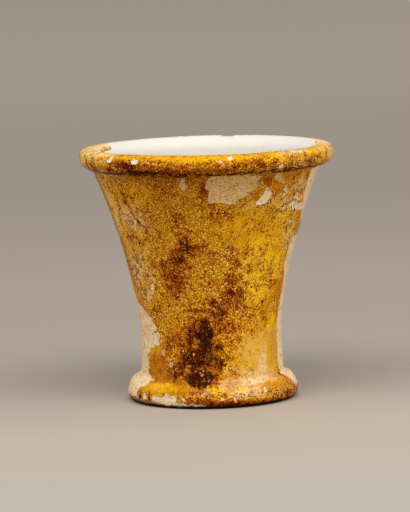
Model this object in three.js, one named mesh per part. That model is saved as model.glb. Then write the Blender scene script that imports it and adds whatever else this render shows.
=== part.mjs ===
// A small stone ointment jar: a waisted beaker with a flared wall, a rounded projecting lip and a
// rounded foot. It was cut from one block of travertine and hollowed with a boring stone, so the whole
// jar is one solid of revolution. Sizes are in millimetres, +Z is up, and the origin is the middle of
// the face that it stands on.
import * as THREE from "three";

// The whole jar
const height = 88; // standing face to the crest of the lip
const waistRadius = 24.6; // the narrowest part of the wall
const waistHeight = 22.5;
const turns = 64; // facets round the jar
const facetError = 0.05; // how far the straight facets of the outline may stand off its curves

// Foot
const footHeight = 9.3; // up to the corner where the wall stands on it
const footSpread = 4.7; // how far the foot swells past the wall that stands on it
const footWidestHeight = 2.8;
const footUndercut = 2.8; // the foot draws in by this much to the face that it stands on
const footCornerRadius = 1; // the hollow corner between foot and wall
const wallRootSpread = 0.5; // the wall eases out by this much from the waist down to the foot

// Wall
const wallFlare = 14.75; // spread of the wall from the waist up to the groove under the lip
const flareLean = 0.4; // outward lean of the wall at that groove, as a slope

// Lip
const lipHeight = 7.7; // groove to crest
const lipOverhang = 4.65; // past the wall at the groove
const lipWidestDepth = 2.9; // crest down to the widest part of the bead
const lipBeadDrop = 2.9; // widest part down to where the bead turns under
const lipCrestInset = 4.4; // widest part in to the crest
const lipFall = 1.5; // the top of the lip slopes down to the mouth by this much
const mouthEdgeRadius = 1.6; // the rounded edge of the mouth
const mouthEdgeDrop = 3.2; // how far down the bore that rounding runs

// Hollow
const mouthWall = 4.2; // thickness of the wall under the lip
const waistWall = 8; // thickness of the wall at the waist
const floorThickness = 10;
const floorCornerRadius = 7.5;
const floorDish = 1; // the boring stone leaves the floor slightly dished

// How far each rounded stretch fills its corner; 0.55 makes it a quarter of an ellipse
const footUnderShare = 0.55;
const footTopShare = 0.42; // flatter, as a worn shoulder
const hollowShare = 0.55;
const wallShare = 0.64;
const beadUnderShare = 0.62;
const beadTopShare = 0.74; // squarer, so that the bead has a full shoulder
const lipTopShare = 0.55;

// Worked out from the sizes above
const grooveHeight = height - lipHeight;
const grooveRadius = waistRadius + wallFlare;
const lipRadius = grooveRadius + lipOverhang;
const wallRootRadius = waistRadius + wallRootSpread;
const footRadius = wallRootRadius + footSpread;
const mouthRadius = grooveRadius - mouthWall;
const boreRadius = waistRadius - waistWall;

// A rounded stretch from the outline's last point to an end, drawn towards a corner by a share.
function roundTo(outline, corner, end, share) {
  const leave = outline.currentPoint.clone().lerp(corner, share);
  const arrive = end.clone().lerp(corner, share);
  outline.bezierCurveTo(leave.x, leave.y, arrive.x, arrive.y, end.x, end.y);
}

// A point of the outline: its distance from the jar's axis and its height.
function at(radius, level) {
  return new THREE.Vector2(radius, level);
}

// The standing face and the swollen foot, up to the hollow corner under the wall.
function drawFoot(outline) {
  const shoulder = at(wallRootRadius + footCornerRadius, footHeight);
  const wallRoot = at(wallRootRadius, footHeight + footCornerRadius);
  outline.moveTo(0, 0);
  outline.lineTo(footRadius - footUndercut, 0);
  roundTo(outline, at(footRadius, 0), at(footRadius, footWidestHeight), footUnderShare);
  roundTo(outline, at(footRadius, footHeight), shoulder, footTopShare);
  roundTo(outline, at(wallRootRadius, footHeight), wallRoot, hollowShare);
}

// Where the upright run of a waist meets the lean of the flare above it.
function flareCorner(lowRadius, highRadius) {
  return at(lowRadius, grooveHeight - (highRadius - lowRadius) / flareLean);
}

// The wall from the foot, upright at the waist and leaning out to the groove under the lip.
function drawWall(outline) {
  const halfway = at(waistRadius, (footHeight + waistHeight) / 2);
  roundTo(outline, halfway, at(waistRadius, waistHeight), hollowShare);
  roundTo(outline, flareCorner(waistRadius, grooveRadius), at(grooveRadius, grooveHeight), wallShare);
}

// The bead of the lip, over its crest and down its sloping top to the edge of the mouth.
function drawLip(outline) {
  const widestHeight = height - lipWidestDepth;
  const crestRadius = lipRadius - lipCrestInset;
  const topEdge = at(mouthRadius + mouthEdgeRadius, height - lipFall);
  const mouthTop = at(mouthRadius, height - lipFall - mouthEdgeDrop);
  roundTo(outline, at(lipRadius, widestHeight - lipBeadDrop), at(lipRadius, widestHeight), beadUnderShare);
  roundTo(outline, at(lipRadius, height), at(crestRadius, height), beadTopShare);
  roundTo(outline, at((crestRadius + topEdge.x) / 2, height), topEdge, lipTopShare);
  roundTo(outline, at(mouthRadius, topEdge.y - mouthEdgeRadius / 2), mouthTop, lipTopShare);
}

// The bore, which follows the wall down to a dished floor with rounded corners.
function drawBore(outline) {
  const cornerTop = at(boreRadius, floorThickness + floorCornerRadius);
  const floorEdge = at(boreRadius - floorCornerRadius, floorThickness);
  outline.lineTo(mouthRadius, grooveHeight);
  roundTo(outline, flareCorner(boreRadius, mouthRadius), at(boreRadius, waistHeight), wallShare);
  outline.lineTo(cornerTop.x, cornerTop.y);
  roundTo(outline, at(boreRadius, floorThickness), floorEdge, hollowShare);
  outline.lineTo(0, floorThickness - floorDish);
}

// Points along one curve, as many as keep its facets within the error. An arc that turns by an
// angle departs from n equal facets by its length times that angle over 8 n squared.
function divide(curve) {
  const turn = curve.getTangent(0).angleTo(curve.getTangent(1));
  const facets = Math.ceil(Math.sqrt((curve.getLength() * turn) / (8 * facetError)));
  return curve.getPoints(Math.max(facets, 1)).slice(1);
}

function makeJarBody() {
  const outline = new THREE.Path();
  drawFoot(outline);
  drawWall(outline);
  drawLip(outline);
  drawBore(outline);
  const points = [at(0, 0), ...outline.curves.flatMap(divide)];
  const geometry = new THREE.LatheGeometry(points, turns);
  geometry.rotateX(Math.PI / 2);
  const stone = new THREE.MeshStandardMaterial({ color: 0xc08a2c, roughness: 0.62, metalness: 0 });
  const body = new THREE.Mesh(geometry, stone);
  body.name = "jar_body";
  return body;
}

const jar = new THREE.Group();
jar.name = "ointment_jar";
jar.add(makeJarBody());

export default jar;
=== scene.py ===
# The look of a small travertine ointment jar: the worn stone, a floor, soft light and a camera
import math

import bpy
import numpy as np
from mathutils import Euler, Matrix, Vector, noise
from mathutils.geometry import interpolate_bezier


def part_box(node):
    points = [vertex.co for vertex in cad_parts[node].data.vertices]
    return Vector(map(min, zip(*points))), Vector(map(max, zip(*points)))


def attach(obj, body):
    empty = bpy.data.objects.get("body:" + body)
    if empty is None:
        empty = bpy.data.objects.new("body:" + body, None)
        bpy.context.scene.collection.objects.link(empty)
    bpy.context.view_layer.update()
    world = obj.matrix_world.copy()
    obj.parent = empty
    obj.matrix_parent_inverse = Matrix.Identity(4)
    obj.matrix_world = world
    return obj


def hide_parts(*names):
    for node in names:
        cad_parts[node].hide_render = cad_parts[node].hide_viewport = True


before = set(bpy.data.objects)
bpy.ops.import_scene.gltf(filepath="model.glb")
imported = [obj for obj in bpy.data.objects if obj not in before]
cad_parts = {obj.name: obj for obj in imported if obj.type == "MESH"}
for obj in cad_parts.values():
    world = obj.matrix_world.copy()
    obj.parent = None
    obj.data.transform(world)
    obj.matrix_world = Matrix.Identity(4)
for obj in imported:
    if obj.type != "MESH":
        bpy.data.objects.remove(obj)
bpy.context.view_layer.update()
mm = 0.001
print("frame loaded")


def tint(red, green, blue):  # from 0 to 255 as the eye reads them, to what a shader needs
    linear = []
    for part in (red, green, blue):
        share = part / 255
        linear.append(share / 12.92 if share <= 0.04045 else ((share + 0.055) / 1.055) ** 2.4)
    return (*linear, 1)


# Camera: a little above the jar, far off, and turned slightly on its own axis
viewpoint = {
    "aim": Vector((0, 0, 44 * mm)),
    "distance": 1200 * mm,
    "elevation": math.radians(7.02),
    "roll": math.radians(-1.57),
    "lens": 242.5,
    "shift": (-0.0089, 0.0296),
}


def addCamera():
    view = viewpoint
    away = Vector((0, -math.cos(view["elevation"]), math.sin(view["elevation"])))
    place = view["aim"] + away * view["distance"]
    bpy.ops.object.camera_add(location=place)
    camera = bpy.context.object
    camera.name = "camera"
    turn = (-away).to_track_quat("-Z", "Y").to_matrix() @ Euler((0, 0, view["roll"])).to_matrix()
    camera.rotation_euler = turn.to_euler()
    camera.data.lens = view["lens"]
    camera.data.shift_x, camera.data.shift_y = view["shift"]
    camera.data.clip_end = 30
    bpy.context.scene.camera = camera


addCamera()
print("camera placed")


# The outline of the jar, in radius and height, worked out from the CAD body and its own sizes
jarLow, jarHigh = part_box("jar_body")
shape = {
    "height": jarHigh.z,
    "lipRadius": jarHigh.x,
    "lipHeight": 7.7 * mm,
    "lipOverhang": 4.65 * mm,
    "lipWidestDepth": 2.9 * mm,
    "lipBeadDrop": 2.9 * mm,
    "lipCrestInset": 4.4 * mm,
    "lipFall": 1.5 * mm,
    "mouthEdgeRadius": 1.6 * mm,
    "mouthEdgeDrop": 3.2 * mm,
    "mouthWall": 4.2 * mm,
    "waistRadius": 24.6 * mm,
    "waistHeight": 22.5 * mm,
    "waistWall": 8 * mm,
    "flareLean": 0.4,
    "footHeight": 8.5 * mm,  # worn lower than it was cut
    "footSpread": 4.7 * mm,
    "footWidestHeight": 2.8 * mm,
    "footUndercut": 2.8 * mm,
    "footCorner": 1.6 * mm,
    "wallRootSpread": 0.5 * mm,
    "floorThickness": 10 * mm,
    "floorCorner": 7.5 * mm,
    "floorDish": 1 * mm,
    "footUnderShare": 0.55,  # how far each rounded stretch fills its corner
    "footTopShare": 0.42,
    "hollowShare": 0.55,
    "wallShare": 0.64,
    "beadUnderShare": 0.72,
    "beadTopShare": 0.74,
    "lipTopShare": 0.55,
    "columns": 464,  # steps round the jar
    "fineStep": 0.58 * mm,  # between rings where the crust shows
    "coarseStep": 6 * mm,  # between rings deep in the bore
}


def roundTo(points, corner, end, share, spacing):  # a rounded stretch that fills a corner by a share
    start, corner, end = Vector(points[-1]), Vector(corner), Vector(end)
    leave, arrive = start.lerp(corner, share), end.lerp(corner, share)
    length = sum((b - a).length for a, b in zip((start, leave, arrive), (leave, arrive, end)))
    count = max(2, round(length / spacing)) + 1
    curve = interpolate_bezier(start.to_3d(), leave.to_3d(), arrive.to_3d(), end.to_3d(), count)
    points += [(p.x, p.y) for p in curve[1:]]


def lineTo(points, end, spacing):
    start, end = Vector(points[-1]), Vector(end)
    count = max(1, round((end - start).length / spacing))
    points += [tuple(start.lerp(end, i / count)) for i in range(1, count + 1)]


def drawOutline():  # from the middle of the standing face, over the lip and down the bore
    s = shape
    fine, coarse = s["fineStep"], s["coarseStep"]
    height = s["height"]
    grooveHeight = height - s["lipHeight"]
    grooveRadius = s["lipRadius"] - s["lipOverhang"]
    rootRadius = s["waistRadius"] + s["wallRootSpread"]
    footRadius = rootRadius + s["footSpread"]
    mouthRadius = grooveRadius - s["mouthWall"]
    boreRadius = s["waistRadius"] - s["waistWall"]
    widestHeight = height - s["lipWidestDepth"]
    crestRadius = s["lipRadius"] - s["lipCrestInset"]
    topEdge = (mouthRadius + s["mouthEdgeRadius"], height - s["lipFall"])

    def flareCorner(low, high):  # where the upright waist meets the lean of the flare
        return (low, grooveHeight - (high - low) / s["flareLean"])

    points = [(0, 0)]
    lineTo(points, (footRadius - s["footUndercut"], 0), coarse)
    widest = (footRadius, s["footWidestHeight"])
    roundTo(points, (footRadius, 0), widest, s["footUnderShare"], fine)
    shoulder = (rootRadius + s["footCorner"], s["footHeight"])
    roundTo(points, (footRadius, s["footHeight"]), shoulder, s["footTopShare"], fine)
    root = (rootRadius, s["footHeight"] + s["footCorner"])
    roundTo(points, (rootRadius, s["footHeight"]), root, s["hollowShare"], fine)
    halfway = (s["waistRadius"], (s["footHeight"] + s["waistHeight"]) / 2)
    roundTo(points, halfway, (s["waistRadius"], s["waistHeight"]), s["hollowShare"], fine)
    flare = flareCorner(s["waistRadius"], grooveRadius)
    roundTo(points, flare, (grooveRadius, grooveHeight), s["wallShare"], fine)
    under = (s["lipRadius"], widestHeight - s["lipBeadDrop"])
    roundTo(points, under, (s["lipRadius"], widestHeight), s["beadUnderShare"], fine)
    roundTo(points, (s["lipRadius"], height), (crestRadius, height), s["beadTopShare"], fine)
    crest = len(points) - 1
    roundTo(points, ((crestRadius + topEdge[0]) / 2, height), topEdge, s["lipTopShare"], fine)
    mouthCorner = (mouthRadius, topEdge[1] - s["mouthEdgeRadius"] / 2)
    mouthTop = (mouthRadius, topEdge[1] - s["mouthEdgeDrop"])
    roundTo(points, mouthCorner, mouthTop, s["lipTopShare"], fine)
    lineTo(points, (mouthRadius, grooveHeight), 2 * fine)
    boreFlare = flareCorner(boreRadius, mouthRadius)
    roundTo(points, boreFlare, (boreRadius, s["waistHeight"]), s["wallShare"], coarse)
    cornerTop = (boreRadius, s["floorThickness"] + s["floorCorner"])
    lineTo(points, cornerTop, coarse)
    floorEdge = (boreRadius - s["floorCorner"], s["floorThickness"])
    roundTo(points, (boreRadius, s["floorThickness"]), floorEdge, s["hollowShare"], coarse / 2)
    lineTo(points, (0, s["floorThickness"] - s["floorDish"]), coarse)
    return points, crest


def levelsOf(points, crest):  # height outside, and on past the crest the distance run down the bore
    levels = []
    for i, point in enumerate(points):
        if i <= crest:
            levels.append(point[1])
        else:
            levels.append(levels[-1] + (Vector(point) - Vector(points[i - 1])).length)
    return levels


def spinJar():  # the outline is pushed out point by point and spun once round
    points, crest = drawOutline()
    bpy.ops.object.select_all(action="DESELECT")
    bpy.ops.mesh.primitive_plane_add(size=mm, location=(0, 0, 0))
    jar = bpy.context.object
    jar.name = "stone_jar"
    bpy.ops.object.mode_set(mode="EDIT")
    bpy.ops.mesh.merge(type="CENTER")
    for before, after in zip(points, points[1:]):
        push = (after[0] - before[0], 0, after[1] - before[1])
        bpy.ops.mesh.extrude_region_move(TRANSFORM_OT_translate={"value": push})
    bpy.ops.object.mode_set(mode="OBJECT")
    level = jar.data.attributes.new("level", "FLOAT", "POINT")
    level.data.foreach_set("value", levelsOf(points, crest))
    bpy.ops.object.mode_set(mode="EDIT")
    bpy.ops.mesh.select_all(action="SELECT")
    bpy.ops.mesh.spin(steps=shape["columns"], angle=2 * math.pi, center=(0, 0, 0), axis=(0, 0, 1))
    bpy.ops.mesh.select_all(action="SELECT")
    bpy.ops.mesh.remove_doubles(threshold=0.01 * mm)
    bpy.ops.mesh.normals_make_consistent(inside=False)
    bpy.ops.object.mode_set(mode="OBJECT")
    bpy.ops.object.shade_smooth()
    return jar


jar = spinJar()
print("jar spun:", len(jar.data.vertices), "points,", 2 * len(jar.data.polygons), "triangles at most")


# Places on the jar are (degrees round from the front, millimetres up); past the crest of the lip the
# second number runs on down into the mouth. An oval is (degrees, level, wide, high), with its tilt in
# degrees after them where it has one.
def readJar(mesh):
    count = len(mesh.vertices)
    spots = np.empty(count * 3)
    mesh.vertices.foreach_get("co", spots)
    normals = np.empty(count * 3)
    mesh.vertices.foreach_get("normal", normals)
    levels = np.empty(count)
    mesh.attributes["level"].data.foreach_get("value", levels)
    spots = spots.reshape(-1, 3)
    return {
        "spots": spots,
        "normals": normals.reshape(-1, 3),
        "turn": np.degrees(np.arctan2(spots[:, 0], -spots[:, 1])),
        "level": levels / mm,
        "radius": np.hypot(spots[:, 0], spots[:, 1]) / mm,
    }


def cloud(points, size, octaves, seed):  # noise from about -1 to 1, in lumps of a size in millimetres
    shift = Vector((seed * 7.31, seed * 3.17, seed * 5.71))
    scale = 1 / (size * mm)
    values = [noise.fractal(Vector(p) * scale + shift, 1, 2, octaves) for p in points]
    return np.array(values)


def step(value, start, end):  # 0 up to start, 1 from end on, and a smooth rise between
    share = np.clip((value - start) / (end - start), 0, 1)
    return share * share * (3 - 2 * share)


def across(skin, turn):  # millimetres round the jar from a direction
    return np.radians((skin["turn"] - turn + 180) % 360 - 180) * skin["radius"]


def lineGap(skin, places, warp):  # millimetres to a line through places
    middle = sum(place[0] for place in places) / len(places)
    u = across(skin, middle) + warp[0]
    v = skin["level"] + warp[1]
    gap = np.full(u.shape, 1e6)
    for (turn, level), (nextTurn, nextLevel) in zip(places, places[1:]):
        start = np.radians(turn - middle) * skin["radius"]
        du = np.radians(nextTurn - turn) * skin["radius"]
        dv = nextLevel - level
        length = np.maximum(du * du + dv * dv, 1e-6)
        reach = np.clip(((u - start) * du + (v - level) * dv) / length, 0, 1)
        gap = np.minimum(gap, np.hypot(u - start - reach * du, v - level - reach * dv))
    return gap


def insideCorners(skin, corners, warp):  # millimetres inside a closed line, negative outside
    closed = corners + corners[:1]
    middle = sum(place[0] for place in closed) / len(closed)
    u = across(skin, middle) + warp[0]
    v = skin["level"] + warp[1]
    inside = np.zeros(u.shape, bool)
    for (turn, level), (nextTurn, nextLevel) in zip(closed, closed[1:]):
        if level == nextLevel:
            continue
        share = (v - level) / (nextLevel - level)
        edge = np.radians(turn - middle + (nextTurn - turn) * share) * skin["radius"]
        inside ^= ((level > v) != (nextLevel > v)) & (u < edge)
    gap = lineGap(skin, closed, warp)
    return np.where(inside, gap, -gap)


def ovalReach(skin, spot, warp):  # 0 in the middle of an oval, 1 on its edge
    turn, level, wide, high = spot[:4]
    u = across(skin, turn) + warp[0]
    v = skin["level"] - level + warp[1]
    lean = math.radians(spot[4]) if len(spot) > 4 else 0
    along = u * math.cos(lean) + v * math.sin(lean)
    over = v * math.cos(lean) - u * math.sin(lean)
    return np.hypot(along / (wide / 2), over / (high / 2))


def insideOval(skin, spot, warp):
    return (1 - ovalReach(skin, spot, warp)) * min(spot[2], spot[3]) / 2


# Where the crust has come away: how deep, the stone that shows there, and a closed line of places
flaked = {
    "underLip": (0.25, "buff",
        (0.2, 79.4), (1.5, 80.4), (7, 80.8), (14, 80.8), (22, 80.6), (27.6, 80.2), (28.3, 79.4),
        (26, 79), (27, 77.3), (25.3, 75.2), (21.5, 74), (19.5, 72.6), (17, 71.8), (13, 70.9), (7, 70.9),
        (3, 71.2), (1, 71.8), (0.2, 73.5), (1, 75.6), (-0.2, 77)),
    "slant": (0.22, "bone",
        (27.3, 70.9), (29.5, 72.4), (31, 73.2), (31.8, 75.2), (34.5, 74.8), (36.8, 73.6), (36, 71.9),
        (34, 70.6), (30.5, 69.8), (28, 69.9)),
    "nick": (0.18, "tan",
        (35.5, 79.8), (37.5, 80.6), (40.5, 79.5), (42.3, 78.2), (42, 77.2), (39.5, 77), (37, 78.2)),
    "upperStreak": (0.15, "tan",
        (50.5, 74.3), (54, 75.6), (58, 77.2), (61.5, 77.8), (60.5, 75.8), (56, 74.2), (52, 73.6)),
    "pinkPatch": (0.2, "bone",
        (54.5, 71.2), (57.5, 72.2), (61, 71.2), (64.5, 70.6), (63, 69.6), (58, 70.2)),
    "spotted": (0.15, "bone",
        (52, 68.2), (55, 69.6), (59, 69), (63, 68.2), (70, 68.8), (76, 66), (68, 65.4), (60, 66.8),
        (55, 67.2)),
    "rightHigh": (0.15, "bone",
        (66, 81.5), (65.8, 76), (66.5, 72), (72, 68), (76, 63), (83, 61), (89, 57.5), (94, 61.5),
        (100, 60.5), (103, 65.5), (109, 67), (107, 71), (113, 73.5), (108, 77.5), (103, 76.8),
        (98, 81.5)),
    "rightLow": (0.16, "bone",
        (84, 58), (71, 56), (67, 53.5), (66, 50), (68, 46), (70, 43), (71, 40), (70.5, 36.5), (69, 33),
        (66.5, 29), (66, 24), (66, 18.8), (66.5, 13.5), (69, 10), (66.5, 9), (68.5, 7.6), (74, 6),
        (80, 4.4), (92, 4.2), (98, 5.6), (102, 8.6), (109, 9), (111, 14), (119, 17), (115, 22),
        (118, 26.5), (110, 31), (112, 35), (120, 38.5), (113, 43), (115, 47), (107, 50), (103, 55.5),
        (96, 57)),
    "leftLow": (0.25, "bone",
        (-75, 34.5), (-68, 33.5), (-62, 32), (-58, 31), (-55, 29.8), (-52.5, 28), (-51, 26),
        (-48.7, 24.2), (-46.6, 22), (-47, 20.9), (-50.5, 21), (-54.5, 20.2), (-59, 19.2), (-62, 17.9),
        (-64, 16.6), (-62.3, 13.5), (-61, 10.5), (-56, 9.2), (-52.5, 8.2), (-55, 7.2), (-60, 5.8),
        (-61.5, 4), (-60, 1), (-59, -1), (-86, -2.5), (-118, -1), (-121, 3.4), (-129, 5.4), (-123, 9.6),
        (-120, 14), (-127, 16.6), (-130, 21.4), (-121, 24), (-119, 29), (-110, 30), (-105, 35),
        (-98, 33.6), (-92, 39), (-84, 37)),
    "footFront": (0.4, "ivory",
        (-45, 3.4), (-43, 4), (-38.5, 4), (-34, 4.3), (-30.5, 4.5), (-27.5, 5), (-25.8, 4.6),
        (-25.6, 3.4), (-25, 2.5), (-21, 2.1), (-17.5, 1.9), (-18, 1), (-24, 0.9), (-30, 1.1),
        (-35, 1.2), (-42, 1.6)),
    "footNick": (0.35, "ivory",
        (-55.5, 3), (-54.5, 4.2), (-51.5, 4.8), (-50, 4), (-50, 2.6), (-53, 2.2)),
    "footStreak": (0.25, "ivory",
        (-15.5, 1.8), (-13, 2.1), (-10.5, 1.6), (-5, 1.9), (-4.5, 1.2), (-9, 0.7), (-15, 0.9)),
    "behindWide": (0.25, "bone",
        (147, 61), (151, 64), (150, 67.5), (156, 69), (161, 67), (165, 70.5), (171, 69.5), (172, 66),
        (178, 63.5), (173, 60), (171, 55), (176, 51.5), (171, 48), (170, 43.5), (163, 45.5), (157, 44),
        (156, 49), (150, 51), (152, 55.5), (146, 57)),
    "behindStreak": (0.15, "tan", (138, 74), (142, 76.5), (149, 77.5), (151, 75.5), (145, 73.6)),
    "behindLow": (0.25, "bone",
        (201, 22), (204, 26), (208, 25), (211, 21), (215, 19.6), (213, 15.5), (219, 13), (214, 10),
        (208, 11), (203, 9.4), (199, 12), (200, 16.4)),
    "behindRim": (0.22, "buff",
        (204, 80.6), (211, 81.6), (226, 81), (225, 78), (229, 76), (222, 73), (218, 75), (211, 74),
        (210, 77.6)),
    "behindFoot": (0.4, "ivory",
        (150, 3.4), (154, 5.4), (157, 4.6), (160, 6.6), (167, 6), (170, 7), (175, 4.8), (173, 2.6),
        (176, 1.2), (164, 0.8), (154, 1)),
}

# Small chips, as ovals, by how deep they are and the stone that shows; those of no depth paint contact
# shadow on the bare stone at the foot's bottom edge
chips = {
    (0.5, "white"): [(-48.5, 86.3, 3, 1.8, 28), (-33.5, 86.3, 2.8, 1.8, -6)],
    (0.25, "cream"): [(-55, 85.6, 1.8, 1.4)],
    (0.3, "white"): [(6.3, 85.8, 1, 1.1, 35), (10.6, 87.1, 1.4, 1.2, 20)],
    (0.4, "white"): [(35.3, 83.4, 2.4, 1.5, 25)],
    (0.2, "cream"): [
        (42.5, 84.2, 0.8, 0.7), (47, 83, 1.1, 0.6, 15), (7.5, 3.2, 1.4, 1, 20), (50, 2.3, 1, 0.6),
    ],
    (0.15, "tan"): [(-41.5, 83.4, 0.8, 0.9), (-45, 83.6, 0.7, 0.7)],
    (0.15, "ivory"): [(-20, 3.7, 2, 0.6, -40), (14.5, 3.2, 0.9, 1.6)],
    (0.15, "cream"): [
        (43, 3.4, 1, 0.7), (38, 83, 2, 0.4, 5), (44, 83, 3, 0.4), (19.5, 4.4, 1.2, 0.8, -10),
    ],
    (0.1, "ivory"): [
        (28, 4.6, 0.9, 0.6, 20), (-7, 12.8, 0.5, 0.4, -30), (30, 10.6, 1.6, 0.6, 15),
        (43.5, 12.8, 0.6, 2.2, -8),
    ],
    (0.1, "tan"): [
        (-34.6, 14.4, 1.5, 2.4, -10), (-42.5, 18.8, 1.6, 2.4, 10), (-12, 78, 2, 4.6),
        (-3, 9.6, 0.4, 0.4), (42.5, 77.2, 0.6, 1.8, 20),
    ],
    # painted contact shadow on the bare stone low on the foot
    (0, "umber"): [(-62, 1.3, 20, 2.2), (74, 2.4, 8, 3)],
    (0.2, "bone"): [(-47, 41.3, 2.6, 1.4, 45)],
    (0.15, "bone"): [(-52, 37.8, 2.4, 1, 50), (-46, 44.6, 1.4, 1, 20), (186, 57.5, 2.2, 1, 20)],
    # the tiny chips at about -13 to -5 degrees and 11 to 14 mm are partly painted glints of light on
    # the black stain
    (0.1, "blush"): [(-14, 18.4, 0.8, 0.8, 20), (-13, 12.6, 0.4, 0.4)],
    (0.1, "amber"): [(-11.5, 21.2, 0.9, 0.6)],
    (0.1, "cream"): [
        (-7.8, 11.3, 0.5, 0.4), (-5, 13.8, 0.4, 0.4, 20), (-10, 12, 0.4, 0.4),
        (37.5, 5.4, 1.4, 1.8, -30), (-51, 66.4, 1.6, 0.6, 40), (-55.5, 64, 1.8, 0.7, -50),
        (-47.5, 62.2, 1, 0.6, 20), (-58, 60.2, 1.6, 0.6, 60), (-60.5, 67.2, 1.8, 0.7, 55),
        (-53, 51.6, 1.4, 0.7, 45), (-49.5, 47.8, 1.2, 0.7, 20), (-60, 52.8, 1.6, 0.7, 60),
        (-55.4, 43, 1.4, 0.7, 50), (-53.5, 80.4, 3, 0.5, -12), (-50.5, 79.2, 1.8, 0.5, -20),
        (-57, 79, 1.4, 0.6, -60), (45.5, 74.2, 0.6, 3.6, -6), (48.5, 70.5, 2.4, 0.6, 35),
        (58.8, 77.8, 2.2, 0.5, 30), (62, 74.4, 0.6, 3, -25), (53.5, 67, 1.6, 0.6, 30),
        (59, 62.4, 0.8, 2.2, -20), (65, 58.6, 0.6, 2, -10), (61.5, 55.2, 1, 0.6, 20),
        (26, 7.6, 1.2, 0.6), (140, 45, 1.4, 0.9, 30), (229, 27.6, 1, 0.8), (250, 66, 2, 0.8, 40),
    ],
    (0.12, "bone"): [(-56.5, 48.6, 2, 0.8, 55), (222, 33, 1.8, 1, -30)],
    (0.1, "bone"): [(-62, 44.4, 1.8, 0.8, 50)],
    (0.12, "cream"): [(131, 64, 2, 0.8, 50), (244, 46, 2.4, 1, 60)],
    (0.12, "tan"): [(193, 68.4, 1.6, 2.6)],
    (0.5, "chalk"): [(128, 84.6, 3.2, 2.4, 20), (196, 85.8, 2.4, 1.6, -12), (236, 84.8, 3.6, 2, 5)],
    (0.4, "bone"): [(258, 83.6, 1.6, 1.2)],
}

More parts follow.
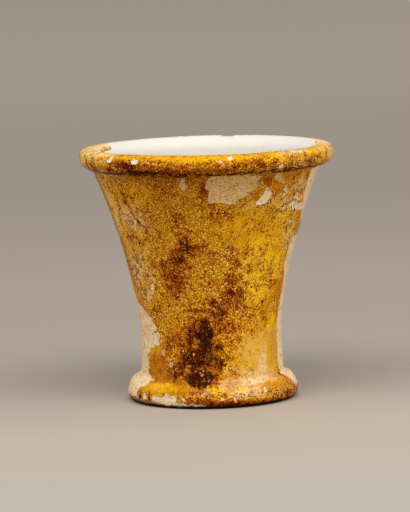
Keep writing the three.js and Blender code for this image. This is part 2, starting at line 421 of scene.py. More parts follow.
# Washes of pigment over the crust, in the order in which they lie: pigment, strength and oval
washes = [
    # The umber washes along the lip's underside and the wall just below it, at about 77 to 84 mm front
    # and back, are partly the crust's brown and partly painted shade under the lip's overhang; the wide
    # umber bands at about 1.6 to 1.8 mm low on the foot are partly painted shade under its rounded
    # bottom edge.
    ("umber", 0.42, -8, 70, 60, 20), ("umber", 0.85, -22, 80.2, 64, 5.4),
    ("umber", 0.6, -24, 77.3, 9, 5), ("umber", 0.65, -4, 76, 6, 8), ("umber", 0.6, -51, 73, 3, 8),
    ("umber", 0.6, 31, 79.6, 9, 4), ("umber", 0.3, 50, 80.4, 22, 4), ("gold", 0.5, -42, 74, 12, 8),
    ("straw", 0.5, -68, 72, 9, 16), ("cream", 0.6, -52, 80.4, 9, 1, -8),
    ("straw", 0.5, -57, 78, 3, 5, 20), ("cream", 0.8, 47, 73.4, 1.3, 7, 14),
    ("cream", 0.7, 52, 71, 6, 1, 30), ("cream", 0.7, 57, 76.4, 1.2, 5, -30),
    ("cream", 0.7, 63, 72, 1.4, 6, -10), ("straw", 0.85, -54, 64.5, 26, 8),
    ("cream", 0.45, -52, 64.6, 18, 4, -10), ("straw", 0.6, -42, 61.4, 6, 4),
    ("cream", 0.5, -62, 49, 10, 9), ("cream", 0.35, -50, 67, 16, 8), ("cream", 0.5, -61, 39, 5, 4),
    ("straw", 0.8, -69, 79, 12, 7), ("straw", 0.7, -57, 54, 14, 14), ("straw", 0.75, -66, 45, 12, 9),
    ("umber", 0.35, -33, 56, 14, 8), ("umber", 0.3, -4, 48, 10, 6), ("cream", 0.7, -62, 47, 7, 6),
    ("cream", 0.6, -46, 45.5, 4.4, 5, 20), ("cream", 0.75, -51.5, 38.6, 10, 2.4, 50),
    ("tan", 0.5, -62, 40, 12, 9), ("gold", 0.85, 27, 61.5, 28, 13), ("gold", 0.5, 48, 58, 14, 12),
    ("bright", 1, 40, 50, 22, 20), ("bright", 0.8, 36, 39, 14, 9), ("bright", 0.6, 50, 67, 14, 7),
    ("straw", 0.85, 56, 71, 20, 12, 20), ("cream", 0.4, 62, 68.4, 8, 4),
    ("straw", 0.8, 62, 57.5, 10, 12), ("cream", 0.5, 67, 57, 4, 7), ("straw", 0.5, 39, 71.5, 5, 5),
    ("bright", 0.7, 42, 43.5, 13, 7), ("straw", 0.55, 57, 23, 12, 8), ("umber", 0.25, 0, 60, 46, 4.6),
    ("umber", 0.5, 42, 58.8, 4, 2.4), ("umber", 0.3, -30, 76, 14, 8), ("umber", 0.4, -7, 48.6, 9, 3),
    ("gold", 0.6, -30, 23.5, 7, 4), ("straw", 0.7, -43, 19, 3, 2.4), ("umber", 0.4, -20, 54, 4, 8),
    ("umber", 0.45, -43, 30, 10, 6), ("umber", 0.4, 22, 48.6, 10, 3), ("umber", 0.5, 48, 53.8, 5, 2.6),
    ("umber", 0.35, 46, 58, 10, 3), ("straw", 0.6, 12, 55, 4, 5), ("straw", 0.5, 36, 50, 4, 8),
    ("straw", 0.6, 24, 70.2, 4, 5), ("cream", 0.35, 50, 70, 12, 5, 20), ("straw", 0.6, 60, 61.5, 8, 3),
    ("olive", 0.85, -25, 36, 21, 10), ("olive", 0.5, 4, 50, 11, 9), ("gold", 0.9, 6, 26, 3.6, 4),
    ("amber", 0.55, 18, 27, 11, 7), ("amber", 0.95, 65, 39, 5.4, 9), ("bright", 0.9, 55, 27.5, 7, 6),
    # The straw and cream washes low on the right, at about 36 to 45 degrees and 8 to 20 mm, are partly
    # the pale worn crust and partly painted highlight on the wall and along the foot's top.
    ("gold", 0.7, 24, 17, 9, 13), ("straw", 0.6, 29, 20, 9, 9), ("straw", 0.8, 38, 18, 12, 14),
    ("cream", 0.6, 45, 14, 5, 12, -10), ("gold", 0.55, 56, 15, 7, 14), ("straw", 0.45, 61, 14, 9, 12),
    ("straw", 0.8, 22, 12, 12, 5), ("cream", 0.5, 39, 11.4, 18, 2.4), ("cream", 0.75, 36, 8.8, 28, 2.6),
    ("blush", 0.75, 10, 8.4, 9, 2.4), ("ivory", 0.8, 41, 9.6, 5, 2), ("ivory", 0.7, 30, 8.2, 8, 1.4),
    ("amber", 1, -50, 14.5, 11, 16), ("umber", 0.3, -50, 14, 11, 18), ("sienna", 0.7, -58, 17.5, 3, 3),
    ("gold", 0.6, -50, 18.8, 9, 3), ("cream", 0.6, -35.5, 12.6, 1, 9, 22),
    ("umber", 0.5, -43, 17, 2.4, 8), ("gold", 0.9, -36, 6.6, 26, 4.4),
    ("umber", 0.6, -34, 8.9, 24, 1.8), ("umber", 0.4, -21, 6.2, 12, 3), ("sienna", 0.9, -11, 5.6, 6, 3),
    ("cream", 0.7, -5, 5.4, 5, 1.8), ("bright", 0.95, 2.5, 6.8, 8, 3), ("cream", 0.65, 23, 6.2, 11, 3),
    ("bright", 0.7, 21, 7, 3, 1.4), ("straw", 0.6, 15, 5.4, 6, 3), ("blush", 0.7, 8.6, 7, 3, 2),
    ("cream", 0.5, 33, 5.6, 7, 3), ("olive", 0.6, -22, 4.2, 6, 4), ("straw", 0.5, -40, 6.8, 8, 1.2),
    ("sienna", 0.8, -10, 6, 6, 2.4), ("cream", 0.5, 20, 5.2, 8, 3.4), ("blush", 0.6, 33, 5.2, 8, 4),
    ("sienna", 0.9, 52, 5, 13, 4.4), ("umber", 0.5, 60, 3.4, 14, 3), ("sienna", 0.95, 70, 4.6, 12, 7),
    ("umber", 0.6, 20, 1.6, 46, 3), ("umber", 0.9, -57.5, 3, 2.4, 4),
    # The gold ring along the lip's crest at 87.4 mm, and the cream and ivory washes on the crest at
    # about 42 to 46 degrees, are partly the crust's colour and partly painted highlight on the lip.
    ("umber", 0.9, -47.5, 3.4, 2.2, 3.4), ("gold", 0.85, 0, 87.4, 400, 3),
    ("amber", 0.8, -43, 87, 6, 1.6), ("gold", 0.7, 35, 85.6, 6, 3), ("straw", 0.9, 51, 87, 10, 2.4),
    ("cream", 0.6, 42, 87.2, 15, 2.2), ("ivory", 0.8, 46, 87.5, 11, 1.4),
    ("straw", 0.7, -54, 87.4, 6, 2), ("straw", 0.6, -30, 87.6, 4, 1.6),
    ("straw", 0.7, 24, 87.5, 4, 1.6), ("cream", 0.75, -67, 85, 10, 3.4),
    ("umber", 0.5, 0, 83.2, 400, 2.4), ("straw", 0.85, -70, 85.4, 26, 6),
    ("straw", 0.5, -66, 81, 18, 2.4), ("straw", 0.8, 58, 83.8, 26, 2.6),
    ("cream", 0.95, -66, 88, 28, 2.2), ("cream", 0.95, -98, 90, 34, 6),
    ("ivory", 0.95, -118, 88.6, 22, 2.8), ("olive", 0.8, -107, 91, 6, 1.2),
    ("ivory", 0.95, 106, 88.4, 44, 3.2), ("cream", 0.95, 84, 88.6, 26, 2),
    ("tan", 0.7, 76, 85.6, 12, 4), ("straw", 0.9, 64, 87.2, 12, 2), ("straw", 0.75, 76, 86, 20, 6),
    ("blush", 0.6, 70, 86.2, 7, 2.6), ("cream", 0.5, 80, 85.4, 16, 6), ("cream", 0.4, -80, 85.4, 18, 6),
    ("cream", 0.4, -70, 68, 7, 22), ("straw", 0.5, 140, 60, 20, 30, 10), ("gold", 0.6, 190, 50, 26, 22),
    ("olive", 0.6, 222, 40, 18, 20), ("amber", 0.7, 132, 24, 14, 20), ("umber", 0.6, 180, 79, 80, 8),
    ("bright", 0.6, 170, 5, 40, 4), ("straw", 0.5, 240, 70, 18, 20), ("bright", 0.8, 118, 44, 20, 16),
    ("gold", 0.6, 128, 60, 16, 10), ("cream", 0.5, 117, 56, 4, 8, 20), ("umber", 0.6, 128, 79.6, 50, 6),
    ("bright", 0.7, 150, 36, 15, 16), ("straw", 0.6, 166, 74, 22, 7),
    ("bright", 0.8, 210, 50, 18, 15, 20), ("olive", 0.8, 190, 58, 22, 10),
    ("straw", 0.6, 206, 18, 12, 14), ("cream", 0.75, 162, 8.8, 30, 2.6),
    ("cream", 0.7, 200, 9, 18, 2.4), ("umber", 0.7, 200, 1.8, 90, 3), ("amber", 0.9, 231, 15, 9, 14),
    ("bright", 0.7, 238, 36, 14, 11), ("straw", 0.6, 256, 58, 11, 18), ("umber", 0.6, 250, 79.6, 60, 6),
    ("sienna", 0.8, 138, 5, 9, 4), ("sienna", 0.8, 187, 5, 8, 3), ("cream", 0.5, 130, 14, 5, 12, -10),
    ("gold", 0.5, 262, 50, 12, 14), ("blush", 0.5, 170, 86.4, 20, 2), ("straw", 0.7, 214, 86.6, 26, 2),
    ("straw", 0.6, 146, 86.6, 20, 2), ("umber", 0.25, 0, 8.8, 400, 1.6),
    ("cream", 0.5, -66, 80.6, 12, 3), ("cream", 0.45, -62, 47.6, 8, 8),
]

# How strongly the crust is speckled, 0 smooth and 1 or more coarse, and in which oval
speckled = [
    (0.75, 0, 76, 90, 14), (1.05, -55, 56, 26, 46), (0.65, 26, 62, 26, 12), (0.8, 42, 46, 20, 26),
    (1.3, 12, 40, 22, 26), (0.5, -50, 14.5, 11, 17), (0.4, 40, 16, 20, 18), (0.35, 58, 18, 10, 24),
    (0.35, 64, 39, 6, 9), (0.5, 34, 8.6, 34, 5), (0.4, -33, 7, 34, 5), (1, 30, 3, 70, 3.4),
    (0.5, 0, 87.4, 400, 2), (1.1, 0, 84.4, 400, 3), (0.75, -8, 84.2, 30, 2.6), (0.4, -95, 89, 50, 5),
    (1.1, -72, 85.4, 22, 4), (1.2, 76, 85.6, 16, 4.4), (0.2, 108, 88.6, 44, 3), (0.5, 150, 36, 16, 16),
    (1.25, 190, 40, 24, 40), (0.6, 212, 52, 18, 14), (0.4, 231, 15, 9, 15), (1.2, 236, 56, 20, 26),
    (0.5, 118, 46, 16, 16), (0.4, 180, 8.6, 60, 5),
]

# Stains, which break up into clusters of specks, and among the dark ones some painted shade: how thick,
# and their ovals
stains = {
    "rust": [
        (1, -15, 58, 6, 5, 20), (1.05, -14, 55, 9, 5, 10), (1.05, -22, 51.4, 9, 5.4, -10),
        (0.95, -31, 49.5, 8, 5, 10), (0.85, -26, 46.5, 13, 10), (0.65, -26, 42, 10, 6),
        (0.85, -34.5, 38.8, 4, 1.2), (0.85, -26.3, 38.4, 4.4, 1.2), (0.8, -48.5, 33, 3.4, 3.6),
        (0.55, -43, 35.5, 3, 2), (0.6, -3, 56.6, 4, 2), (0.7, -18, 53.6, 5, 3),
        (0.85, -6, 33.8, 13, 2.4), (0.6, 4, 53.4, 4, 1.6), (0.5, 5, 67, 7, 5, 20),
        (0.35, -18, 67, 5, 4), (0.45, -18, 62, 8, 4), (0.85, -1.8, 75.5, 4, 9), (0.6, -21, 75, 6, 3),
        (0.75, -51, 73, 2.4, 8), (0.4, -45, 64, 4, 2.4, -20), (0.5, -55, 58.4, 8, 2.4, -10),
        (0.55, -43, 58.6, 3, 4), (0.25, -70, 42, 8, 5), (0.45, 25, 53.5, 4, 3, 20),
        (0.66, 20, 49.4, 6, 4), (0.75, 15, 44.5, 6, 6), (0.6, -17, 48.6, 6, 3), (0.62, 15, 27, 11, 4),
        (0.3, 36, 32, 6, 3), (0.5, 43, 35, 4, 2.4, 30), (0.6, 12.5, 23, 4, 5),
        (0.75, 22.5, 23.3, 3.4, 3), (0.55, 53, 41, 7, 3), (0.45, 61, 73, 5, 3), (0.5, 33, 78, 6, 4),
        (0.5, 50, 79, 12, 3), (0.4, 14, 16.5, 4, 4), (0.8, -16, 26, 12, 5), (0.9, -18, 48.8, 5, 2.6),
        (0.65, -34, 21, 8, 4), (0.8, 5, 9.4, 5, 2), (0.95, -57.5, 3, 2, 4), (0.95, -47.5, 3.4, 2, 3.2),
        (0.75, -12, 3.4, 12, 1.8), (0.7, -36, 5.2, 8, 0.8), (0.6, -24, 5.4, 6, 1.6),
        (0.7, -11.5, 6, 6, 2), (0.75, 12, 2, 20, 2.6), (0.75, 38, 1.4, 30, 2.4), (0.75, 60, 2.8, 14, 3),
        (0.56, -3, 83.2, 62, 2.4), (0.9, -47.5, 83, 6, 1.6), (1, -38.5, 84.9, 13, 3.4),
        (0.6, -10, 85, 10, 2), (0.8, -28, 84.6, 12, 2.4), (0.75, -20, 84, 14, 2.2),
        (0.95, 13, 84.8, 5, 3), (0.7, 18, 85, 5, 2.4), (0.65, 31, 85, 5, 2.4), (0.7, 24, 84.6, 8, 3),
        (0.95, 53, 84, 7, 2.2), (0.65, 60, 85.2, 6, 1.8), (0.6, 42, 82.6, 10, 1.8),
        (0.6, -66, 83.4, 14, 2), (0.85, 140, 50, 14, 16), (0.8, 186, 30, 18, 14, 20),
        (0.75, 215, 60, 14, 12), (0.7, 236, 52, 16, 20, -20), (0.65, 130, 72, 12, 8),
        (0.8, 180, 82, 90, 3), (0.8, 146, 84.8, 14, 3), (0.75, 182, 84.6, 16, 2.6),
        (0.8, 222, 84.4, 20, 3), (0.7, 252, 84, 14, 2.6), (0.6, 122, 78.5, 7, 4), (0.55, 196, 74, 8, 6),
        (0.6, 246, 74, 6, 7), (0.6, 128, 34, 5, 4), (0.6, 142, 18, 8, 6), (0.5, 152, 26, 4, 3),
        (0.6, 224, 22, 6, 6), (0.5, 240, 12, 5, 5), (0.5, 205, 40, 5, 5), (0.7, 160, 2.4, 60, 3),
        (0.8, 216, 2.4, 40, 3.4),
    ],
    "char": [
        (0.5, -15, 56, 6, 5, 20), (0.55, -20, 51.5, 5, 2.6), (0.48, 15, 39.4, 5, 4),
        (0.42, 22, 37.5, 4, 4), (0.5, 0, 36.4, 4, 3.4), (0.65, -33, 12, 3.4, 5),
        (0.5, -33, 9.8, 6, 1.6), (0.9, -18, 13.8, 4, 3), (0.95, -2.5, 18.6, 5, 8),
        # the dark rings and bands from 0 to about 2.4 mm are painted contact shadow along the standing
        # edge; the ring at 81.6 mm and those at about 82 mm are partly dark crust and partly painted
        # shade in the groove under the lip
        (0.6, -24, 11.4, 5, 2.6), (0.7, -47, 3.2, 1.4, 1.8), (0.85, 5, 1.5, 20, 2),
        (1.15, 0, 0.2, 400, 2.4), (1.7, 44, 0, 64, 2.4), (0.85, 0, 81.6, 400, 1.6),
        (1.1, -32, 82.5, 26, 2), (0.8, -38.5, 84.5, 10, 3), (0.6, 53, 83.9, 5, 1.2),
        (0.6, 138, 49, 7, 7), (0.85, 184, 14, 12, 8), (0.9, 150, 82, 26, 1.8), (0.8, 214, 82, 34, 1.6),
        (0.6, 196, 1.6, 30, 2),
    ],
}

# The large stains: how far their edge fades, how thick, and a closed line of places
blots = [
    ("rust", 2.4, 0.7,
        (-42, 24.5), (-36, 26.5), (-28, 26.5), (-22, 29), (-12, 31), (-3.5, 33.5), (-3, 38), (3, 37.8),
        (9, 36.8), (11, 41), (17, 42), (25, 41), (28.5, 36), (26, 33), (18, 32.6), (11, 30), (9, 24),
        (10, 18), (7, 14), (6, 10), (2, 8), (-8, 6.8), (-20, 8.6), (-36, 8.8), (-36, 13), (-29, 17),
        (-27, 20), (-42, 20)),
    ("char", 0.9, 1.02,
        (-10.5, 29.6), (-9, 30.4), (-4, 32), (-2.4, 31.4), (-1, 28), (-5, 26), (-11.5, 27)),
    ("char", 1, 1.4,
        (-10, 28.2), (-3, 29), (0.2, 27.4), (0.8, 24), (0, 21.4), (-5, 20.6), (-10, 21.6), (-11, 25)),
    ("char", 1.4, 0.92,
        (-24.5, 15), (-25, 19), (-21, 20.4), (-13, 20.6), (-10, 23), (0, 22), (1, 17), (2, 14),
        (-8, 13.4), (-18, 13.6)),
    ("char", 1, 1,
        (-20.5, 8.4), (-20.5, 11.5), (-13, 13.2), (-3, 13.6), (1.5, 11), (0, 8), (-6, 7), (-14, 7.2)),
    ("char", 2, 0.57, (1, 21), (9, 22), (13.5, 19), (12.5, 13), (8, 9.4), (2, 8), (0, 12), (0, 18)),
    ("char", 1.8, 0.7, (-21, 27), (-11, 29.6), (-9, 22), (-18, 21.5)),
    ("rust", 2.4, 0.75,
        (176, 40), (184, 42), (192, 40), (198, 34), (200, 27), (196, 20), (192, 12), (184, 8), (174, 9),
        (168, 14), (172, 21), (176, 27), (173, 34)),
    ("char", 1.4, 0.95,
        (181, 33), (187, 34), (191, 29), (189, 22), (186, 14), (181, 10), (177, 13), (180, 20),
        (179, 27)),
    ("rust", 2.2, 0.75, (128, 54), (137, 57), (146, 53), (149, 46), (143, 40), (135, 42), (129, 47)),
    ("rust", 2.4, 0.7, (228, 60), (236, 63), (243, 57), (246, 48), (239, 42), (231, 47)),
]

# Black pits, as degrees, level and width
pits = [
    (-57, 58.4, 1.2), (-50, 56.8, 1.2), (-44.5, 58.6, 1), (-41.8, 59.2, 1), (-51.4, 72.4, 1),
    (-45.5, 64.4, 1.3), (-44.2, 63.8, 1), (-1, 56.8, 1), (0.3, 54.4, 1.1), (2.6, 53.2, 0.9),
    (5.2, 53.1, 1), (26.6, 42.4, 1.1), (29, 42.2, 0.9), (31.5, 40.8, 1), (50.5, 41.8, 1.1),
    (54.3, 41.2, 1), (43, 35.2, 1.2), (27.5, 47.2, 0.9), (58.8, 45.5, 1.1), (9.8, 68.2, 1),
    (4.5, 67.2, 1), (2.6, 78.7, 1.1), (64.2, 8.9, 1.2), (-52.5, 25.2, 1), (-54.3, 25.4, 0.8),
    (-56, 22.4, 0.6), (-7.8, 5.6, 0.9), (42.4, 65, 1.1), (47, 66.4, 0.8), (56, 67.4, 1),
    (61, 66.6, 1), (58.6, 68, 1), (12.6, 67.8, 0.8), (-62.8, 17, 0.8), (-60.8, 14.8, 0.6),
    (158, 58, 1), (165, 63, 0.9), (205, 20, 1), (122, 30, 1), (100, 24, 0.9), (-95, 22, 1),
    (-108, 12, 1), (-82, 27, 0.8), (140, 66, 1), (146, 72, 1.1), (190, 70, 1), (200, 66, 0.9),
    (228, 70, 1), (240, 33, 1.1), (248, 60, 1), (92, 47, 1), (104, 40, 1.1), (88, 36, 0.8),
    (94, 12, 0.8), (108, 22, 1), (90, 70, 1), (100, 73, 0.8), (-90, 16, 1), (-99, 26, 1.1),
    (-115, 20, 0.9), (154, 62, 0.8), (161, 50, 1), (209, 14, 0.9),
]

# Fine dark cracks: how strong, and places along each
cracks = [
    (1, (27, 69.2), (30, 69.2), (33.5, 69.9), (37, 71.2)),
    (1, (34.5, 67.4), (37, 68.2), (39.5, 69.2)), (1, (19.8, 70.7), (19.8, 69.3)),
    (1, (42, 66.8), (47, 68.6), (52, 69.2), (57, 70)),
    (0.7, (58, 73.8), (62, 73.6), (64.5, 72)), (1, (65.8, 79.4), (65.6, 75.5), (66, 72.2)),
    (1, (66.5, 51), (66.8, 53), (69.5, 54.2)), (0.8, (-52, 58.6), (-50, 57), (-49.8, 55.4)),
    (0.7, (17, 87.8), (21, 87.6), (26, 87.8), (31, 87.6)),
    (1.1, (36, 87.7), (39, 87.6), (43, 87.9), (48, 87.7), (52, 88), (56, 88.2)),
    (0.8, (42, 82.4), (49.5, 82.7), (55.5, 82.9), (61.5, 83.1)),
    (0.8, (150, 78), (154, 75), (158, 71), (164, 69.5)), (0.7, (214, 60), (219, 62), (226, 61)),
    (0.8, (166, 44), (163, 40), (165, 36)), (0.7, (236, 26), (241, 24), (247, 25)),
    (0.8, (92, 57), (95, 51), (93, 46), (96, 42)), (0.7, (-96, 34), (-99, 28), (-97, 22)),
]

pigments = {
    "ochre": tint(210, 139, 0), "gold": tint(234, 166, 0), "olive": tint(192, 134, 0),
    "bright": tint(254, 192, 8), "straw": tint(232, 180, 74), "cream": tint(250, 216, 150),
    "amber": tint(200, 114, 0), "sienna": tint(206, 132, 46), "umber": tint(148, 78, 2),
    "bone": tint(240, 210, 160), "buff": tint(213, 169, 92), "tan": tint(204, 158, 88),
    "blush": tint(232, 178, 112), "ivory": tint(250, 226, 184), "chalk": tint(230, 224, 214),
    "white": tint(248, 240, 224),
}

wear = {
    # noise, as the size of its lumps and its height in millimetres
    "wobble": (26, 0.16), "ripple": (7, 0.05),  # hand-cut unevenness
    "grain": (1.5, 0.05),  # the crust's own lumps
    "ragged": (2.8, 0.8), "frayed": (1, 0.3),  # how torn the edges of the losses are
    "soft": (5, 1.4),  # how far the edges of the washes wander
    "washEdge": (1.3, 0.4),  # where a colour starts and where it is full, in shares of its oval
    "speckleEdge": (1.35, 0.6),
    "stainEdge": (1.5, 0.2),
    "pitEdge": (1.3, 0.3), "pitDepth": 0.2,
    "islandSize": 1.5, "islandReach": 3,  # small losses of their own beside the large ones
    "islandLevel": 0.42, "islandSlope": 1.6, "islandTop": (84, 82),  # none on the lip
    "lossEdge": (0, 0.4), "lossColour": (-3, -0.5),  # millimetres inside a loss
    "chipEdge": (0, 0.7), "chipColour": (-0.5, -0.1), "chipRagged": 0.8,
    "crustEdge": (0.2, -0.2),
    "crackRagged": 0.4, "crackWidth": 0.5, "crackDepth": 0.12, "crackThin": 0.4,
    "crackTop": 1.4,  # this far below the crest a crack is still placed by its radius
    "rimCrust": 0.3, "rimRagged": 0.4,  # how far past the crest the crust runs
    # and where it runs further: degrees, by how much, and how far from there it starts and is full
    "rimSpread": [(-100, 4, 16, 7), (84, 1.4, 16, 7), (180, -0.7, 60, 30)],
    "notch": (168.5, 88, 5.6, 5), "notchEdge": (1.2, 0.5), "notchDepth": 0.45,
    "standing": (0.1, 1.2),  # the standing face stays flat, and relief starts above it
}


def paint(colour, name, cover):
    return colour * (1 - cover[:, None]) + np.array(pigments[name]) * cover[:, None]


def wearJar(jar):
    skin = readJar(jar.data)
    spots = skin["spots"]
    level = skin["level"]
    count = len(spots)

    def lumps(name, octaves, seed):
        size, amount = wear[name]
        return cloud(spots, size, octaves, seed) * amount

    warp = [lumps("ragged", 2, seed) + lumps("frayed", 1, seed + 2) for seed in (1, 2)]
    soft = [lumps("soft", 3, seed) for seed in (5, 6)]

    # the crust's own colours, and the stains in it
    colour = np.tile(np.array(pigments["ochre"]), (count, 1))
    for name, strength, *spot in washes:
        colour = paint(colour, name, strength * step(ovalReach(skin, spot, soft), *wear["washEdge"]))
    speckle = np.ones(count)
    for amount, *spot in speckled:
        cover = step(ovalReach(skin, spot, soft), *wear["speckleEdge"])
        speckle = speckle * (1 - cover) + amount * cover
    stain = {name: np.zeros(count) for name in stains}
    for name, places in stains.items():
        for strength, *spot in places:
            cover = step(ovalReach(skin, spot, warp), *wear["stainEdge"])
            stain[name] = np.maximum(stain[name], strength * cover)
    for name, fade, strength, *corners in blots:
        cover = step(insideCorners(skin, corners, warp), -fade, fade)
        stain[name] = np.maximum(stain[name], strength * cover)
    pit = np.zeros(count)
    for turn, height, wide in pits:
        reach = ovalReach(skin, (turn, height, wide, wide), warp)
        pit = np.maximum(pit, step(reach, *wear["pitEdge"]))

    # cracks; on the lip's flat top they are placed by their radius
    crest = shape["height"] / mm
    onTop = (level > crest - wear["crackTop"]) & (level <= crest)
    past = skin["radius"] - (shape["lipRadius"] - shape["lipCrestInset"]) / mm
    flat = dict(skin, level=np.where(onTop, crest - past, level))
    crack = np.full(count, 10.0)  # millimetres to the nearest
    for strength, *places in cracks:
        gap = lineGap(flat, places, [w * wear["crackRagged"] for w in warp])
        crack = np.minimum(crack, gap + (1 - strength) * wear["crackThin"])

    # the stone that shows where the crust is gone: on the lip's top and inside, and in the losses
    bare = level - crest - wear["rimCrust"] + warp[1] * wear["rimRagged"]
    for turn, further, start, full in wear["rimSpread"]:
        bare -= further * step(np.abs(across(skin, turn)), start, full)
    under = np.tile(np.array(pigments["chalk"]), (count, 1))
    depth = np.zeros(count)
    for deep, name, *corners in flaked.values():
        inside = insideCorners(skin, corners, warp)
        bare = np.maximum(bare, inside)
        depth = np.maximum(depth, deep * step(inside, *wear["lossEdge"]))
        cover = step(inside, *wear["lossColour"]) * step(level, crest + 1, crest)
        under = paint(under, name, cover)
    islands = (cloud(spots, wear["islandSize"], 1, 10) - wear["islandLevel"]) * wear["islandSlope"]
    near = step(bare, -wear["islandReach"], -0.5) * step(level, *wear["islandTop"])
    bare = np.maximum(bare, islands - (1 - near) * 2)
    for (deep, name), places in chips.items():
        for spot in places:
            inside = insideOval(skin, spot, [w * wear["chipRagged"] for w in warp])
            bare = np.maximum(bare, inside)
            depth = np.maximum(depth, deep * step(inside, *wear["chipEdge"]))
            under = paint(under, name, step(inside, *wear["chipColour"]))

    # relief: hand-cut unevenness all over, the crust's lumps, the losses, pits and cracks, and the
    # nick in the rim at the back
    crust = step(bare, *wear["crustEdge"])
    outward = lumps("wobble", 1, 7) + lumps("ripple", 2, 8) + lumps("grain", 2, 9) * crust
    outward -= depth + wear["pitDepth"] * pit
    outward -= wear["crackDepth"] * step(crack, wear["crackWidth"], 0)
    outward -= wear["notchDepth"] * step(ovalReach(skin, wear["notch"], warp), *wear["notchEdge"])
    outward *= step(level, *wear["standing"])
    spots += skin["normals"] * (outward * mm)[:, None]
    jar.data.vertices.foreach_set("co", spots.ravel())

    # what the material reads at each point
    numbers = {"bare": bare, "speckle": speckle, "pit": pit, "crack": np.minimum(crack, 3), **stain}
    for name, value in numbers.items():
        layer = jar.data.attributes.new(name, "FLOAT", "POINT")
        layer.data.foreach_set("value", value)
    for name, value in (("pigment", colour), ("under", under)):
        layer = jar.data.attributes.new(name, "FLOAT_COLOR", "POINT")
        layer.data.foreach_set("color", value.ravel())
    jar.data.update()


wearJar(jar)
print("jar worn")


class Number:  # a number on its way through the shader: sums written on it add Math nodes
    def __init__(self, finish, socket):
        self.finish = finish
        self.socket = socket

    def maths(self, operation, first, second):
        return self.finish.node("ShaderNodeMath", {"operation": operation}, {0: first, 1: second})

    def __add__(self, other):
        return self.maths("ADD", self, other)

    def __radd__(self, other):
        return self.maths("ADD", other, self)

    def __sub__(self, other):
        return self.maths("SUBTRACT", self, other)

    def __rsub__(self, other):
        return self.maths("SUBTRACT", other, self)

    def __mul__(self, other):
        return self.maths("MULTIPLY", self, other)

    def __rmul__(self, other):
        return self.maths("MULTIPLY", other, self)


class Finish:  # one material and the nodes in it
    def __init__(self, name):
        self.material = bpy.data.materials.new(name)
        self.material.use_nodes = True
        self.tree = self.material.node_tree
        self.tree.nodes.clear()

    def node(self, kind, settings=None, inputs=None, output=0):
        made = self.tree.nodes.new(kind)
        for name, value in (settings or {}).items():
            setattr(made, name, value)
        for name, value in (inputs or {}).items():
            if isinstance(value, Number):
                self.tree.links.new(value.socket, made.inputs[name])
            else:
                made.inputs[name].default_value = value
        return Number(self, made.outputs[output])

    def layer(self, name, output="Fac"):  # what the mesh says at each point
        return self.node("ShaderNodeAttribute", {"attribute_name": name}, output=output)

    def clouds(self, place, size, detail=2):  # noise with lumps of a size in millimetres
        inputs = {"Vector": place, "Scale": 1 / (size * mm), "Detail": detail}
        return self.node("ShaderNodeTexNoise", None, inputs)

    def grains(self, place, size):  # a random colour for each crooked grain of a size in millimetres
        scale = 1 / (size * mm)
        bend = self.node("ShaderNodeTexNoise", None, {"Vector": place, "Scale": scale}, "Color")
        inputs = {0: bend, 1: (crustLook["crooked"] * mm,) * 3, 2: place}
        crooked = self.node("ShaderNodeVectorMath", {"operation": "MULTIPLY_ADD"}, inputs)
        return self.node("ShaderNodeTexVoronoi", None, {"Vector": crooked, "Scale": scale}, "Color")

    def part(self, colour, index):  # one of a colour's three numbers
        return self.node("ShaderNodeSeparateColor", None, {0: colour}, index)

    def shift(self, place, amount):  # the same pattern somewhere else
        settings = {"operation": "ADD"}
        return self.node("ShaderNodeVectorMath", settings, {0: place, 1: (amount, amount, amount)})

    def stretch(self, place, share):  # a pattern drawn out sideways
        settings = {"operation": "MULTIPLY"}
        return self.node("ShaderNodeVectorMath", settings, {0: place, 1: (share, share, 1)})

    def larger(self, first, second):
        return self.node("ShaderNodeMath", {"operation": "MAXIMUM"}, {0: first, 1: second})

    def rise(self, value, start, end):  # 0 up to start, 1 from end on
        inputs = {"Value": value, "From Min": start, "From Max": end}
        return self.node("ShaderNodeMapRange", {"interpolation_type": "SMOOTHSTEP"}, inputs)

    def blend(self, factor, first, second, how="MIX"):  # two colours
        settings = {"data_type": "RGBA", "blend_type": how}
        return self.node("ShaderNodeMix", settings, {0: factor, 6: first, 7: second}, output=2)

    def surface(self, inputs):
        shader = self.node("ShaderNodeBsdfPrincipled", None, inputs)
        end = self.tree.nodes.new("ShaderNodeOutputMaterial")
        self.tree.links.new(shader.socket, end.inputs["Surface"])


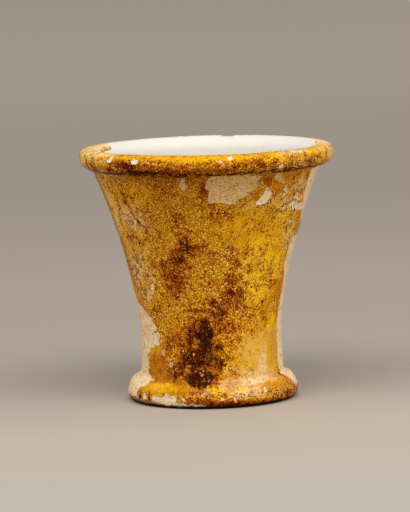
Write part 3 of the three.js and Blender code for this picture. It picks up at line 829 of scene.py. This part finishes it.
crustLook = {
    "grain": 0.34, "speck": 0.45, "crooked": 0.2,  # sizes in millimetres
    "fine": 0.5, "mottle": 2, "drift": 6, "bed": 4,
    # layers: a colour, the numbers between which it rises and how fully it covers
    "brown": (tint(148, 60, 0), (0.44, 0.7), 0.5),
    "rust": (tint(122, 26, 4), (0.36, 0.85), 0.62),
    # the dark layer that follows colours both the black stains and the painted shade at the standing
    # edge and in the groove under the lip
    "char": (tint(44, 13, 4), (0.4, 0.85), 0.95),
    "shade": (tint(134, 54, 0), (0.5, 0.15), 0.55),
    "pale": (tint(255, 218, 96), (0.58, 0.86), 0.7),
    "paleInRust": tint(244, 164, 76),
    # pale grains in the char stains, which also paint the small glints of light on the dark stain
    "paleGrainAndGlintInChar": tint(240, 190, 130),
    "dark": (tint(126, 28, 0), (0.1, -0.06), 0.85),
    "darkInStains": tint(50, 6, 2),
    "edge": (tint(126, 28, 0), (-0.7, 0), 0.5),  # of the crust, round a loss
    "chalk": (tint(250, 246, 236), (0.55, 0.9), 0.5),
    "tan": (pigments["tan"], (0.5, 0.66), 0.3),
    "dirt": (tint(106, 52, 10), (0.3, 0.1), 0.75),
    "beds": (tint(246, 239, 226), (0.4, 0.66), 1),
    "bedsOutside": 0.55, "bedsInside": 0.15,
    "boreDarkening": (tint(206, 184, 150), (125 * mm, 175 * mm), 0.8),  # darker low in the bore
    "outside": (1.5 * mm, 0.2 * mm),  # past the crest, where the stone's specks end
    "gone": (-0.05, 0.05),  # from crust to bare stone
    "crack": (tint(44, 13, 4), (0.42, 0.15), 0.95),
    "pit": (0.4, 0.65),
    "paintedContactShadow": (tint(28, 15, 8), (1.5 * mm, 0.6 * mm), 0.93),  # painted contact shadow along the standing edge, over crust and bare stone alike
    "bump": 0.5, "bumpHeight": 0.15 * mm,
    "crustRough": 0.45, "stoneRough": 0.15, "speckRough": 0.1,  # stone and specks on top of the crust's
    "shine": 0.015,
}


def travertine():
    look = crustLook
    finish = Finish("weathered_travertine")
    place = finish.node("ShaderNodeTexCoord", output="Object")
    names = ("bare", "speckle", "rust", "char", "level", "crack", "pit")
    bare, speckle, rust, char, level, crack, pit = [finish.layer(name) for name in names]

    def amount(name, value):  # how much of a layer shows where a value rises
        return finish.rise(value, *look[name][1])

    def over(below, name, share, colour=None, how="MIX"):  # a layer over what lies below
        return finish.blend(share * look[name][2], below, colour or look[name][0], how)

    fine = finish.clouds(place, look["fine"])
    mottle = finish.clouds(finish.shift(place, 0.3), look["mottle"], 3)
    drift = finish.clouds(finish.shift(place, 0.7), look["drift"])
    grains = finish.grains(place, look["grain"])
    hue = finish.part(grains, 1)
    grain = finish.part(grains, 0) * 0.55 + fine * 1.5 - 0.5  # how pale each grain is, about 0 to 1
    speck = finish.part(finish.grains(finish.shift(place, 0.5), look["speck"]), 0)

    # the crust: its pigment mottled brown, stains of rust and char with torn edges, soft grain, and
    # dark specks that gather in the mottles and stains; the char layer also paints contact shadow along
    # the standing edge and shade in the groove under the lip
    crust = finish.layer("pigment", "Color")
    crust = over(crust, "brown", amount("brown", mottle + (drift - 0.5) * 1.2) * speckle)
    tear = (mottle - 0.5) * 1.3 + (speck - 0.5) * 0.7
    rusty = amount("rust", rust + tear)
    crust = over(crust, "rust", rusty)
    charAndShadeCover = amount("char", char + tear)
    crust = over(crust, "char", charAndShadeCover)
    stainedAndShaded = finish.larger(rusty, charAndShadeCover)
    crust = over(crust, "shade", amount("shade", grain) * speckle)
    light = finish.blend(rusty, look["pale"][0], look["paleInRust"])
    light = finish.blend(charAndShadeCover, light, look["paleGrainAndGlintInChar"])
    crust = over(crust, "pale", amount("pale", grain - charAndShadeCover * 0.2) * speckle, light)
    gather = (mottle - 0.5) * 1.2 + (drift - 0.5) * 0.6 + rust * 0.56 + speckle * 0.1
    dark = amount("dark", speck + (fine - 0.5) * 1.2 - gather)
    dark = dark * finish.rise(finish.larger(speckle, stainedAndShaded), 0.2, 0.75)
    crust = over(crust, "dark", dark, finish.blend(stainedAndShaded, look["dark"][0], look["darkInStains"]))
    crust = over(crust, "edge", amount("edge", bare + (mottle - 0.5) * 4) * speckle)

    # the stone under it: small dark and chalky specks, faint beds, clean inside the mouth, and darker
    # low in the bore
    outside = finish.rise(level - shape["height"], *look["outside"])
    stone = finish.layer("under", "Color")
    stone = over(stone, "chalk", amount("chalk", grain) * outside)
    stone = over(stone, "tan", amount("tan", mottle) * outside)
    stone = over(stone, "dirt", amount("dirt", grain - (mottle - 0.5) * 0.8) * outside)
    beds = amount("beds", finish.clouds(finish.stretch(place, 0.2), look["bed"]))
    beds = beds * (outside * look["bedsOutside"] + look["bedsInside"])
    stone = over(stone, "beds", beds, how="MULTIPLY")
    stone = over(stone, "boreDarkening", amount("boreDarkening", level + (drift - 0.5) * 30 * mm), how="MULTIPLY")

    # both together, with the cracks, the pits and the painted contact shadow along the standing edge
    gone = finish.rise(bare + (hue - 0.5) * 0.35 + (mottle - 0.5) * 1.6, *look["gone"])
    colour = finish.blend(gone, crust, stone)
    lines = finish.larger(amount("crack", crack + (grain - 0.5) * 0.3), finish.rise(pit, *look["pit"]))
    colour = over(colour, "crack", lines)
    # painted contact shadow: darkest within about 0.6 mm of the floor, gone by about 1.5 mm
    ground = level + (mottle - 0.5) * 2 * mm - gone * 0.2 * mm
    colour = over(colour, "paintedContactShadow", amount("paintedContactShadow", ground))
    height = grain * 0.3 - dark * 0.35 + mottle * 0.3
    inputs = {"Strength": look["bump"], "Distance": look["bumpHeight"], "Height": height}
    bump = finish.node("ShaderNodeBump", None, inputs)
    rough = look["crustRough"] + gone * look["stoneRough"] + dark * look["speckRough"]
    inputs = {"Base Color": colour, "Roughness": rough, "Normal": bump}
    finish.surface({**inputs, "Specular IOR Level": look["shine"]})
    return finish.material


jar.data.materials.append(travertine())
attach(jar, "root")
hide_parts("jar_body")
print("stone finished")


# Floor and light
studio = {
    "floorSize": 16,
    "paper": tint(174, 169, 160),
    "floorLightAndShade": [  # painted light and shade on the floor: darker near the camera, a painted shadow edge beside the jar running askew, and brighter far back where the lamps fall off; each a colour, where it starts and is full, in metres behind the jar, and how far askew
        (tint(187, 175, 159), -0.3, -0.06, 0),
        (tint(180, 168, 156), -0.07, -0.01, 0.15),
        (tint(194, 180, 168), 0.08, 0.4, 0),
        (tint(254, 237, 221), 0.2, 2, 0),
    ],
    "floorRough": 0.9, "floorShine": 0.1,
    "softboxes": {  # place, size and power
        "softboxAbove": (Vector((0, -0.45, 0.75)), (1.2, 0.45), 7.6),
        "softboxRight": (Vector((0.85, -0.35, 0.25)), (0.5, 0.5), 2.2),
        "softboxLeft": (Vector((-0.85, -0.4, 0.25)), (0.5, 0.5), 1.3),
    },
    "world": 0.33,
}


def addFloor():
    bpy.ops.object.select_all(action="DESELECT")
    bpy.ops.mesh.primitive_plane_add(size=studio["floorSize"], location=(0, 0, 0))
    floor = bpy.context.object
    floor.name = "floor"
    finish = Finish("floor_paper")
    place = finish.node("ShaderNodeTexCoord", output="Object")
    side = finish.node("ShaderNodeSeparateXYZ", None, {0: place}, output=0)
    depth = finish.node("ShaderNodeSeparateXYZ", None, {0: place}, output=1)
    paper = studio["paper"]
    # the floor's colour carries painted light and shade in bands
    for colour, start, full, skew in studio["floorLightAndShade"]:
        paper = finish.blend(finish.rise(depth - side * skew, start, full), paper, colour)
    inputs = {"Roughness": studio["floorRough"], "Specular IOR Level": studio["floorShine"]}
    finish.surface({"Base Color": paper, **inputs})
    floor.data.materials.append(finish.material)


def addLight():
    for name, (place, size, power) in studio["softboxes"].items():
        bpy.ops.object.light_add(type="AREA", location=place)
        lamp = bpy.context.object
        lamp.name = name
        lamp.data.shape = "RECTANGLE"
        lamp.data.size, lamp.data.size_y = size
        lamp.data.energy = power
        lamp.rotation_euler = (viewpoint["aim"] - place).to_track_quat("-Z", "Y").to_euler()
    world = bpy.data.worlds.new("studio")
    world.use_nodes = True
    world.node_tree.nodes["Background"].inputs["Strength"].default_value = studio["world"]
    world.node_tree.nodes["Background"].inputs["Color"].default_value = (1, 1, 1, 1)
    bpy.context.scene.world = world


addFloor()
addLight()
bpy.context.scene.view_settings.view_transform = "Standard"
print("floor and light set")
